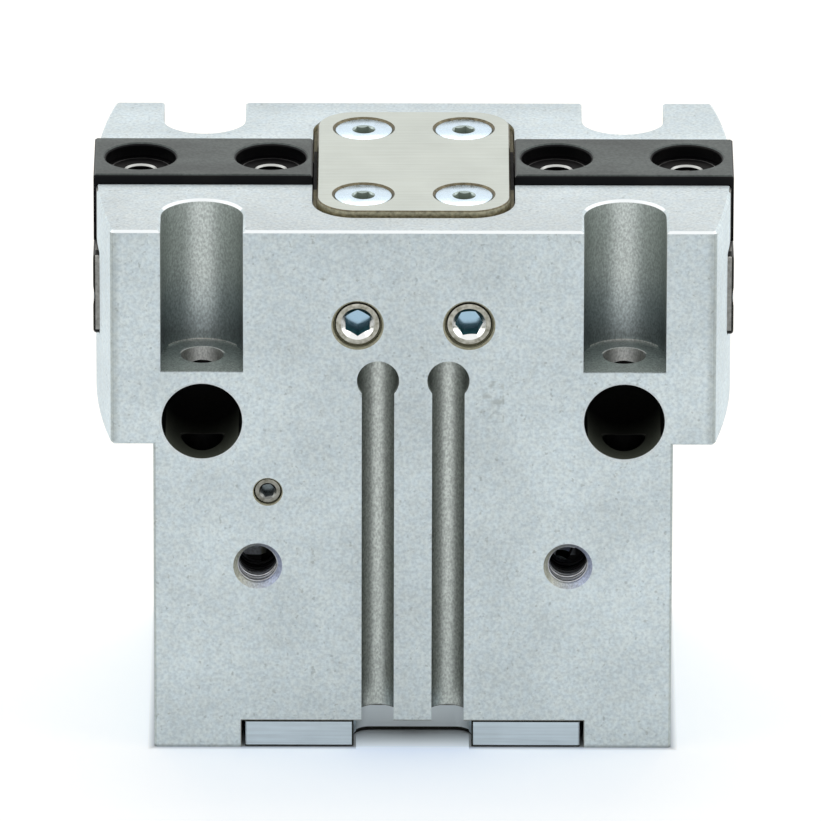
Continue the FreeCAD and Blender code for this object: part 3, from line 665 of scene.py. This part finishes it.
# Other metals, with grinding or turning lines
metalLooks = {
    "rolledSteel": {
        "nodes": ["side_cover_left", "side_cover_right"],
        "bright": (0.360, 0.355, 0.335, 1.0), "dark": (0.220, 0.215, 0.200, 1.0), "rough": 0.42,
        "lines": (1800.0, 3.0, (1.0, 0.05, 1.0)),
        # Slanted faces and the top towards the front and back take painted shade
        "slopeLean": (0.34, 0.94), "endY": 0.0096,
    },
    "milledAluminium": {
        "nodes": ["bottom_cover", "piston"],
        "bright": (0.665, 0.760, 0.820, 1.0), "dark": (0.555, 0.630, 0.680, 1.0), "rough": 0.46,
        "lines": (2400.0, 3.0, (0.04, 0.04, 1.0)),
        # Dark seams, the lowest a painted shade line along the foot; the cut-out face painted lighter, with a
        # painted shadow line along its foot; painted shadow for the gaps at the block ends
        "darkSeams": ((0.0, 0.00032), (0.00340, 0.00365), (0.00885, 0.00960)),
        "notch": (0.680, 0.740, 0.770, 1.0), "notchY": (-0.0175, 0.0), "notchTop": 0.0090,
        "notchLine": 0.00052, "darkEnds": (0.0072, 0.00752), "frontLean": -0.5,
    },
    "threadedAluminium": {
        "bright": (0.600, 0.620, 0.660, 1.0), "dark": (0.400, 0.400, 0.390, 1.0), "rough": 0.36,
        "lines": (1600.0, 3.0),
        # Painted shade, darker deeper in the port
        "fade": housingLook["tones"]["portDepth"],
    },
    "threadedSteel": {
        "bright": (0.120, 0.120, 0.116, 1.0), "dark": (0.070, 0.070, 0.068, 1.0), "rough": 0.34,
        "lines": (1600.0, 3.0),
    },
    "groundSteel": {
        "nodes": ["piston_rod", "wedge_hook", "seal_retainer", "duct_ball"],
        "bright": (0.600, 0.610, 0.620, 1.0), "dark": (0.450, 0.450, 0.460, 1.0), "rough": 0.30,
        "lines": (2000.0, 3.0, (1.0, 1.0, 0.05)),
    },
    "sinteredBronze": {
        "nodes": ["rod_bush"],
        "bright": (0.560, 0.360, 0.160, 1.0), "dark": (0.380, 0.240, 0.110, 1.0), "rough": 0.45,
        "lines": (3000.0, 3.0),
    },
    "sinteredMagnet": {
        "nodes": ["piston_magnets"],
        "bright": (0.160, 0.160, 0.170, 1.0), "dark": (0.090, 0.090, 0.100, 1.0), "rough": 0.55,
        "lines": (3000.0, 3.0),
    },
}
metalSurface = {
    # Dark colour for seams and for painted shade
    "stained": (0.020, 0.020, 0.018, 1.0),
    "stain": (160.0, 4.0),
    "stainTone": (*noiseSpan, 0.94, 1.04),
    "darkShare": (0.35, 0.75),
    "roughSpan": (0.04, 0.06),
    "relief": (0.000008, 0.5),
}


def linedMetal(name, look):
    material, tree, shader, place, face = startMaterial(name)
    x, y, z = parts(tree, place)
    tiltX, tiltY, tiltZ = parts(tree, face)
    lines = noise(tree, place, *look["lines"])
    colour = mixColour(tree, spread(tree, lines, *metalSurface["darkShare"]), look["bright"], look["dark"])
    colour = shade(tree, colour, pattern(tree, place, metalSurface["stain"], metalSurface["stainTone"]))
    # Dark seams, and where given a painted shade line along the foot
    stains = [within(tree, z, *seam) for seam in look.get("darkSeams", ())]
    # Painted shade on the slanted borders of the side covers and on their top towards the front and back
    if "slopeLean" in look:
        low, high = look["slopeLean"]
        stains.append(within(tree, mirrored(tree, tiltX), low, high))
        stains.append(within(tree, tiltZ, -high, -low))
        stains.append(allOf(tree, above(tree, tiltZ, high), above(tree, mirrored(tree, y), look["endY"])))
    # Painted light on the cut-out, a painted shadow line along its foot, and painted shadow for the gaps at
    # the block ends
    if "notch" in look:
        notch = allOf(tree, within(tree, y, *look["notchY"]), below(tree, z, look["notchTop"]))
        colour = mixColour(tree, notch, colour, look["notch"])
        stains.append(allOf(tree, notch, below(tree, z, look["notchLine"])))
        ends = within(tree, mirrored(tree, x), *look["darkEnds"])
        stains.append(allOf(tree, ends, below(tree, tiltY, look["frontLean"])))
    # Painted shade, darker further in
    if "fade" in look:
        colour = shade(tree, colour, spread(tree, y, *look["fade"]))
    if stains:
        colour = mixColour(tree, anyOf(tree, *stains), colour, metalSurface["stained"])
    rough = roughness(tree, lines, look["rough"], *metalSurface["roughSpan"])
    cover(tree, shader, colour, 1.0, rough, lines, metalSurface["relief"])
    return material


# Seals, the guide band, and the skirt that stands in for the brown shade in the gap round the cover plate
softLooks = {
    "sealRubber": {
        "nodes": ["piston_seal", "rod_seal", "bottom_cover_seal"],
        "main": (0.018, 0.018, 0.018, 1.0), "pale": (0.035, 0.035, 0.034, 1.0), "rough": 0.75, "gloss": 0.5,
    },
    # A sheet of painted shade in the gap round the cover plate, darkest beside the jaws
    "brownSkirt": {
        "main": (0.150, 0.140, 0.095, 1.0), "pale": (0.230, 0.210, 0.150, 1.0), "rough": 0.50, "gloss": 0.08,
        "dark": (0.010, 0.010, 0.009, 1.0), "darkY": 0.0064,
    },
    "bandPlastic": {
        "nodes": ["piston_guide_band"],
        "main": (0.640, 0.600, 0.500, 1.0), "pale": (0.720, 0.680, 0.590, 1.0), "rough": 0.55, "gloss": 0.5,
    },
}
softSurface = {
    "mottle": (1400.0, 3.0),
    "paleShare": (0.35, 0.65),
    "roughSpan": (0.06, 0.06),
    "relief": (0.00001, 0.5),
}


def mouldedRing(name, look):
    material, tree, shader, place = startMaterial(name)[:4]
    mottle = noise(tree, place, *softSurface["mottle"])
    colour = mixColour(tree, spread(tree, mottle, *softSurface["paleShare"]), look["main"], look["pale"])
    if "dark" in look:
        # Painted shadow on the skirt beside the jaws
        middle = below(tree, mirrored(tree, parts(tree, place)[1]), look["darkY"])
        colour = mixColour(tree, middle, colour, look["dark"])
    rough = roughness(tree, mottle, look["rough"], *softSurface["roughSpan"])
    cover(tree, shader, colour, 0.0, rough, mottle, softSurface["relief"])
    shader.inputs["Specular IOR Level"].default_value = look["gloss"]
    return material


# Each look becomes a finish, on the nodes that it names
finishes = {}
makers = (
    (blastedAluminium, {"blastedAluminium": housingLook}),
    (coatedSteel, {"coatedSteel": jawLook}),
    (groundPlate, {"groundPlate": plateLook}),
    (platedScrew, screwLooks),
    (linedMetal, metalLooks),
    (mouldedRing, softLooks),
)
for maker, looks in makers:
    for name, look in looks.items():
        finishes[name] = maker(name, look)
        for node in look.get("nodes", ()):
            nodes[node].data.materials.clear()
            nodes[node].data.materials.append(finishes[name])
print("finishes made:", len(finishes))


# Geometry node trees for the screws, the threads and the skirt of painted shade
def startTree(name, sizes):
    tree = bpy.data.node_groups.new(name, "GeometryNodeTree")
    tree.interface.new_socket("Places", in_out="INPUT", socket_type="NodeSocketGeometry")
    for label in sizes:
        tree.interface.new_socket(label, in_out="INPUT", socket_type="NodeSocketFloat")
    tree.interface.new_socket("Finish", in_out="INPUT", socket_type="NodeSocketMaterial")
    tree.interface.new_socket("Pieces", in_out="OUTPUT", socket_type="NodeSocketGeometry")
    return tree, tree.nodes.new("NodeGroupInput").outputs


def lowered(tree, shape, depth):
    drop = output(tree, "ShaderNodeCombineXYZ", {"Z": sums(tree, "MULTIPLY", depth, -1.0)})
    return output(tree, "GeometryNodeTransform", {"Geometry": shape, "Translation": drop})


def attribute(tree, name, kind):
    return step(tree, "GeometryNodeInputNamedAttribute", {"Name": name}, data_type=kind).outputs["Attribute"]


def setOut(tree, entry, shape):
    turn = attribute(tree, "turn", "FLOAT")
    spin = output(tree, "FunctionNodeAxisAngleToRotation", {"Axis": (0.0, 0.0, 1.0), "Angle": turn})
    values = {"Rotation": attribute(tree, "facing", "FLOAT_VECTOR"), "Rotate By": spin}
    pose = output(tree, "FunctionNodeRotateRotation", values, rotation_space="LOCAL")
    values = {"Points": entry["Places"], "Instance": shape, "Rotation": pose}
    copies = output(tree, "GeometryNodeInstanceOnPoints", values)
    solid = output(tree, "GeometryNodeRealizeInstances", {"Geometry": copies})
    done = output(tree, "GeometryNodeSetMaterial", {"Geometry": solid, "Material": entry["Finish"]})
    step(tree, "NodeGroupOutput", {"Pieces": done})


# One screw stands on its tip and grows upwards ring by ring, then its socket is cut out
screwShape = {"sides": 64, "keySides": 6, "softShare": 0.3, "weld": 0.000005}


def socketScrewTree(look):
    sizes = ("Head Radius", "Rim Height", "Rim Break", "Cone Height", "Thread Radius", "Length",
             "Socket Width", "Socket Depth", "Socket Lead")
    tree, entry = startTree("socketScrews", sizes)

    def rise(shape, top, height, scale):
        grown = step(tree, "GeometryNodeExtrudeMesh", {"Mesh": shape, "Offset Scale": height}, mode="FACES")
        if top:
            tree.links.new(top, grown.inputs["Selection"])
        values = {"Geometry": grown.outputs["Mesh"], "Selection": grown.outputs["Top"], "Scale": scale}
        return output(tree, "GeometryNodeScaleElements", values, domain="FACE"), grown.outputs["Top"]

    head = entry["Head Radius"]
    thread = entry["Thread Radius"]
    rimBreak = entry["Rim Break"]
    values = {"Vertices": look["sides"], "Radius": thread}
    tip = output(tree, "GeometryNodeMeshCircle", values, fill_type="NGON")
    shank = away(tree, away(tree, entry["Length"], entry["Cone Height"]), entry["Rim Height"])
    soft = sums(tree, "MULTIPLY_ADD", rimBreak, -look["softShare"], head)
    flat = away(tree, head, rimBreak)
    rings = (
        (entry["Cone Height"], sums(tree, "DIVIDE", head, thread)),
        (away(tree, entry["Rim Height"], rimBreak), 1.0),
        (sums(tree, "MULTIPLY", rimBreak, 1.0 - look["softShare"]), sums(tree, "DIVIDE", soft, head)),
        (sums(tree, "MULTIPLY", rimBreak, look["softShare"]), sums(tree, "DIVIDE", flat, soft)),
    )
    shape, top = rise(tip, None, shank, 1.0)
    for height, scale in rings:
        shape, top = rise(shape, top, height, scale)
    closed = step(tree, "GeometryNodeJoinGeometry", {"Geometry": shape})
    tree.links.new(output(tree, "GeometryNodeFlipFaces", {"Mesh": tip}), closed.inputs[0])
    values = {"Geometry": closed.outputs[0], "Distance": look["weld"]}
    screw = lowered(tree, output(tree, "GeometryNodeMergeByDistance", values), entry["Length"])
    corner = sums(tree, "MULTIPLY", entry["Socket Width"], 1.0 / math.sqrt(3.0))
    deep = sums(tree, "MULTIPLY", entry["Socket Depth"], 2.0)
    values = {"Vertices": look["keySides"], "Radius": corner, "Depth": deep}
    key = output(tree, "GeometryNodeMeshCylinder", values, fill_type="NGON")
    lead = sums(tree, "ADD", corner, entry["Socket Lead"])
    wide = sums(tree, "MULTIPLY", lead, 2.0)
    values = {"Vertices": look["sides"], "Radius Top": wide, "Radius Bottom": 0.0, "Depth": wide}
    cone = lowered(tree, output(tree, "GeometryNodeMeshCone", values, fill_type="NGON"), lead)
    for cutter in (key, cone):
        values = {"Mesh 1": screw, "Mesh 2": cutter}
        screw = output(tree, "GeometryNodeMeshBoolean", values, operation="DIFFERENCE", solver="EXACT")
    setOut(tree, entry, screw)
    return tree


# A thread is a ridge wound along the wall of its hole
coilShape = {"turnPoints": 40, "ridgeSides": 8}


def threadTree(look):
    tree, entry = startTree("threadCoils", ("Hole Radius", "Ridge", "Pitch", "Length"))
    turns = sums(tree, "DIVIDE", entry["Length"], entry["Pitch"])
    values = {"Resolution": look["turnPoints"], "Rotations": turns, "Height": entry["Length"],
              "Start Radius": entry["Hole Radius"], "End Radius": entry["Hole Radius"]}
    path = output(tree, "GeometryNodeCurveSpiral", values)
    values = {"Resolution": look["ridgeSides"], "Radius": entry["Ridge"]}
    crest = output(tree, "GeometryNodeCurvePrimitiveCircle", values)
    coil = output(tree, "GeometryNodeCurveToMesh", {"Curve": path, "Profile Curve": crest, "Fill Caps": True})
    setOut(tree, entry, lowered(tree, coil, entry["Length"]))
    return tree


# A skirt runs around the cover plate, inside its pocket, as a sheet of painted shade in the gap
skirtShape = {"cornerPoints": 12}


def skirtTree(look):
    tree, entry = startTree("plateSkirt", ("Length", "Depth", "Corner", "Width", "Height"))

    def box(width, height):
        return output(tree, "GeometryNodeCurvePrimitiveQuadrilateral", {"Width": width, "Height": height})

    outline = box(entry["Length"], entry["Depth"])
    values = {"Curve": outline, "Radius": entry["Corner"], "Count": look["cornerPoints"]}
    rounded = output(tree, "GeometryNodeFilletCurve", values, mode="POLY")
    section = box(entry["Width"], entry["Height"])
    setOut(tree, entry, output(tree, "GeometryNodeCurveToMesh", {"Curve": rounded, "Profile Curve": section}))
    return tree


upward = (0.0, 0.0, 0.0)
downward = (math.pi, 0.0, 0.0)
frontward = (math.pi / 2, 0.0, 0.0)
leftward = (0.0, -math.pi / 2, 0.0)
rightward = (0.0, math.pi / 2, 0.0)
smoothAngle = math.radians(32)


def makePieces(name, tree, spec):
    mesh = bpy.data.meshes.new(name)
    mesh.from_pydata([place for place, facing, turn in spec["places"]], [], [])
    mesh.attributes.new("facing", "FLOAT_VECTOR", "POINT")
    mesh.attributes.new("turn", "FLOAT", "POINT")
    for index, (place, facing, turn) in enumerate(spec["places"]):
        mesh.attributes["facing"].data[index].vector = facing
        mesh.attributes["turn"].data[index].value = math.radians(turn)
    piece = bpy.data.objects.new(name, mesh)
    scene.collection.objects.link(piece)
    shaper = piece.modifiers.new("shape", "NODES")
    shaper.node_group = tree
    sizes = dict(spec["sizes"], Finish=finishes[spec["finish"]])
    if spec["finish"] in screwLooks:
        sizes["Socket Width"] = screwLooks[spec["finish"]]["hex"]
        sizes["Socket Lead"] = screwLooks[spec["finish"]]["leadIn"]
    for item in tree.interface.items_tree:
        if item.name in sizes:
            shaper[item.identifier] = sizes[item.name]
    graph = bpy.context.evaluated_depsgraph_get()
    made = bpy.data.meshes.new_from_object(piece.evaluated_get(graph), depsgraph=graph)
    piece.modifiers.clear()
    piece.data = made
    made.name = name
    made.polygons.foreach_set("use_smooth", [True] * len(made.polygons))
    made.set_sharp_from_angle(angle=smoothAngle)
    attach(piece, spec["body"])
    if "replaces" in spec:
        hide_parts(*spec["replaces"])
    print(name, "made,", len(made.polygons), "faces")


# Two places that mirror each other, left and right, with their turns in degrees
def pair(x, y, z, facing, turns):
    return [((side * x, y, z), facing, turn) for side, turn in zip((-1, 1), turns)]


countersunk = {"Head Radius": 0.00355, "Rim Height": 0.00022, "Rim Break": 0.00018, "Cone Height": 0.00148,
               "Thread Radius": 0.0020, "Socket Depth": 0.0016}

plateX, plateY = spots["plateScrew"]
plateTop = 0.06936
plateScrews = {
    "places": (pair(plateX, -plateY, plateTop, upward, (4, -3))
               + pair(plateX, plateY, plateTop, upward, (8, 21))),
    "sizes": dict(countersunk, Length=0.00726),
    "finish": "zincScrew", "slot": "zinc_screw", "body": "body", "replaces": ["top_cover_screws"],
}

baseX, baseY = spots["baseScrew"]
baseZ = 0.000245
baseScrews = {
    "places": (pair(baseX, -baseY, baseZ, downward, (-28, 6))
               + pair(baseX, baseY, baseZ, downward, (-6, 28))),
    "sizes": dict(countersunk, Length=0.0100),
    "finish": "zincScrew", "slot": "zinc_screw", "body": "body", "replaces": ["bottom_cover_screws"],
}

sideX = 0.03943
sideY, sideZ = spots["sideScrew"]
sideScrews = {
    "places": [((-sideX, -sideY, sideZ), leftward, -18), ((-sideX, sideY, sideZ), leftward, 8),
               ((sideX, -sideY, sideZ), rightward, -8), ((sideX, sideY, sideZ), rightward, 18)],
    "sizes": {"Head Radius": 0.0018, "Rim Height": 0.00015, "Rim Break": 0.0001, "Cone Height": 0.00078,
              "Thread Radius": 0.0010, "Length": 0.0050, "Socket Depth": 0.0009},
    "finish": "sideScrew", "slot": "zinc_screw", "body": "body", "replaces": ["side_cover_screws"],
}

plugX, plugZ = spots["purgePlug"]
plugY = -0.02135
purgePlugs = {
    "places": pair(plugX, plugY, plugZ, frontward, (30, 4)),
    "sizes": {"Head Radius": 0.0027, "Rim Height": 0.00025, "Rim Break": 0.0001, "Cone Height": 0.0002,
              "Thread Radius": 0.0030, "Length": 0.0050, "Socket Depth": 0.0024},
    "finish": "brightPlug", "slot": "plug_zinc", "body": "body", "replaces": ["purge_plugs"],
}

ductX, ductZ = spots["ductPlug"]
ductY = -0.0215
ductPlug = {
    "places": [((-ductX, ductY, ductZ), frontward, 12)],
    "sizes": {"Head Radius": 0.0016, "Rim Height": 0.0004, "Rim Break": 0.00016, "Cone Height": 0.0004,
              "Thread Radius": 0.0017, "Length": 0.0040, "Socket Depth": 0.0014},
    "finish": "dullPlug", "slot": "plug_zinc", "body": "body", "replaces": ["duct_plug"],
}

portX, portZ = spots["airPort"]
portY = -0.02105
portThreads = {
    "places": pair(portX, portY, portZ, frontward, (0, 70)),
    "sizes": {"Hole Radius": 0.00254, "Ridge": 0.00020, "Pitch": 0.0008, "Length": 0.0064},
    "finish": "threadedAluminium", "slot": "machined_aluminium", "body": "body",
}

innerX, outerX = spots["fingerHoles"]
threadTop = 0.06750
leftThreads = {
    "places": [((-innerX, 0.0, threadTop), upward, 0), ((-outerX, 0.0, threadTop), upward, 90)],
    "sizes": {"Hole Radius": 0.00188, "Ridge": 0.00016, "Pitch": 0.0007, "Length": 0.0050},
    "finish": "threadedSteel", "slot": "jaw_black", "body": "left_jaw",
}
rightPlaces = [((innerX, 0.0, threadTop), upward, 40), ((outerX, 0.0, threadTop), upward, 130)]
rightThreads = dict(leftThreads, body="right_jaw", places=rightPlaces)

skirtZ = 0.0676
plateSkirt = {
    "places": [((0.0, 0.0, skirtZ), upward, 0)],
    "sizes": {"Length": 0.0243, "Depth": 0.0341, "Corner": 0.00505, "Width": 0.00042, "Height": 0.0012},
    "finish": "brownSkirt", "slot": "cover_steel", "body": "body",
}

screwTree = socketScrewTree(screwShape)
coilTree = threadTree(coilShape)
makePieces("plateScrews", screwTree, plateScrews)
makePieces("baseScrews", screwTree, baseScrews)
makePieces("sideScrews", screwTree, sideScrews)
makePieces("purgePlugs", screwTree, purgePlugs)
makePieces("ductPlug", screwTree, ductPlug)
makePieces("portThreads", coilTree, portThreads)
makePieces("leftThreads", coilTree, leftThreads)
makePieces("rightThreads", coilTree, rightThreads)
makePieces("plateSkirt", skirtTree(skirtShape), plateSkirt)


# Floor: white to the camera, shaded where the body stands on it, with a painted contact shadow in a band
# round the foot and a painted glow fading inwards under the middle of the front
floorLook = {
    "size": 3.0,
    "bounce": (0.82, 0.83, 0.84, 1.0),
    "seen": (1.00, 0.77, 0.40, 1.0),
    "glow": (0.09, 0.30, 0.64, 1.0),
    "under": (0.50, 0.53, 0.55, 1.0),
    "notchGlow": (0.36, 0.41, 0.45, 1.0),
    "footX": 0.0320, "footY": 0.0218,
    "notchX": 0.0070, "notchFade": 0.0045,
    "contactWidth": 0.0009, "contactShade": 0.5,
}


def floorFinish(look):
    material = bpy.data.materials.new("paleFloor")
    material.use_nodes = True
    tree = material.node_tree
    tree.nodes.clear()
    x, y = parts(tree, tree.nodes.new("ShaderNodeTexCoord").outputs["Object"])[:2]
    footY = look["footY"]
    offSide = mirrored(tree, x)
    offFoot = anyOf(tree, away(tree, offSide, look["footX"]), away(tree, mirrored(tree, y), footY))
    under = below(tree, offFoot, 0.0)
    inNotch = below(tree, offSide, look["notchX"])
    # Painted contact shadow in a band round the foot, and a painted glow fading into the cut-out under the
    # front
    contact = spread(tree, offFoot, 0.0, look["contactWidth"], look["contactShade"], 1.0)
    contact = anyOf(tree, contact, inNotch)
    notch = allOf(tree, inNotch, spread(tree, y, -footY, look["notchFade"] - footY, 1.0, 0.0))
    strength = sums(tree, "MULTIPLY_ADD", under, notch, allOf(tree, contact, inverse(tree, under)))
    seenColour = mixColour(tree, under, shade(tree, look["seen"], contact), look["under"])
    glowColour = mixColour(tree, under, look["glow"], look["notchGlow"])
    seen = output(tree, "ShaderNodeBsdfDiffuse", {"Color": seenColour})
    glow = output(tree, "ShaderNodeEmission", {"Color": glowColour, "Strength": strength})
    both = output(tree, "ShaderNodeAddShader", {0: seen, 1: glow})
    bounce = output(tree, "ShaderNodeBsdfDiffuse", {"Color": look["bounce"]})
    direct = tree.nodes.new("ShaderNodeLightPath").outputs["Is Camera Ray"]
    pick = output(tree, "ShaderNodeMixShader", {0: direct, 1: bounce, 2: both})
    step(tree, "ShaderNodeOutputMaterial", {"Surface": pick})
    return material


def makeFloor(look):
    half = look["size"] / 2
    mesh = bpy.data.meshes.new("floor")
    corners = [(-half, -half, 0), (half, -half, 0), (half, half, 0), (-half, half, 0)]
    mesh.from_pydata(corners, [], [(0, 1, 2, 3)])
    mesh.materials.append(floorFinish(look))
    floor = bpy.data.objects.new("floor", mesh)
    scene.collection.objects.link(floor)


# Sky: white to the camera and in reflections, softer as light
skyLook = {
    "light": (0.97, 0.99, 1.0, 1.0), "lightStrength": 0.74,
    "seen": (1.0, 1.0, 1.0, 1.0), "seenStrength": 1.0,
    "seenBy": ("Is Camera Ray", "Is Glossy Ray", "Is Transmission Ray"),
}


def makeSky(look):
    world = bpy.data.worlds.new("studioSky")
    world.use_nodes = True
    tree = world.node_tree
    tree.nodes.clear()
    rays = tree.nodes.new("ShaderNodeLightPath").outputs
    direct = anyOf(tree, *[rays[label] for label in look["seenBy"]])
    soft = output(tree, "ShaderNodeBackground", {"Color": look["light"], "Strength": look["lightStrength"]})
    white = output(tree, "ShaderNodeBackground", {"Color": look["seen"], "Strength": look["seenStrength"]})
    pick = output(tree, "ShaderNodeMixShader", {0: direct, 1: soft, 2: white})
    step(tree, "ShaderNodeOutputWorld", {"Surface": pick})
    scene.world = world


# Lamps: one square panel above and behind, one on each side
lampPanels = {
    "overheadPanel": {"place": (0.0, 0.52, 0.90), "size": 0.7, "power": 2.3, "tint": (1.0, 0.95, 0.91)},
    "leftPanel": {"place": (-0.85, -0.05, 0.28), "size": 0.9, "power": 2.75, "tint": (1.0, 1.0, 1.0)},
    "rightPanel": {"place": (0.85, -0.05, 0.28), "size": 0.9, "power": 3.05, "tint": (1.0, 1.0, 1.0)},
}
lampAim = (0.0, 0.0, 0.04)


def makeLamp(name, look):
    lamp = bpy.data.lights.new(name, "AREA")
    lamp.shape = "SQUARE"
    lamp.size = look["size"]
    lamp.energy = look["power"]
    lamp.color = look["tint"]
    panel = bpy.data.objects.new(name, lamp)
    panel.location = look["place"]
    panel.rotation_euler = (Vector(lampAim) - Vector(look["place"])).to_track_quat("-Z", "Y").to_euler()
    scene.collection.objects.link(panel)


# Camera: in front and far away, with a long lens, as in the photograph
cameraPlace = {
    "aim": (-0.00033, 0.0, 0.03617), "elevation": 22.25, "distance": 2.2, "roll": 0.13,
    "lens": 775.8, "sensor": 36.0, "nearClip": 0.1, "farClip": 20.0,
}


def makeCamera(look):
    camera = bpy.data.cameras.new("frontCamera")
    camera.lens = look["lens"]
    camera.sensor_width = look["sensor"]
    camera.clip_start = look["nearClip"]
    camera.clip_end = look["farClip"]
    eye = bpy.data.objects.new("frontCamera", camera)
    tilt = math.radians(look["elevation"])
    back = Vector((0.0, -math.cos(tilt), math.sin(tilt)))
    roll = Quaternion((0.0, 0.0, 1.0), math.radians(look["roll"]))
    eye.location = Vector(look["aim"]) + back * look["distance"]
    eye.rotation_mode = "QUATERNION"
    eye.rotation_quaternion = (-back).to_track_quat("-Z", "Y") @ roll
    scene.collection.objects.link(eye)
    scene.camera = eye


makeFloor(floorLook)
makeSky(skyLook)
for name, look in lampPanels.items():
    makeLamp(name, look)
makeCamera(cameraPlace)
scene.view_settings.view_transform = "Standard"
print("floor, light and camera set")
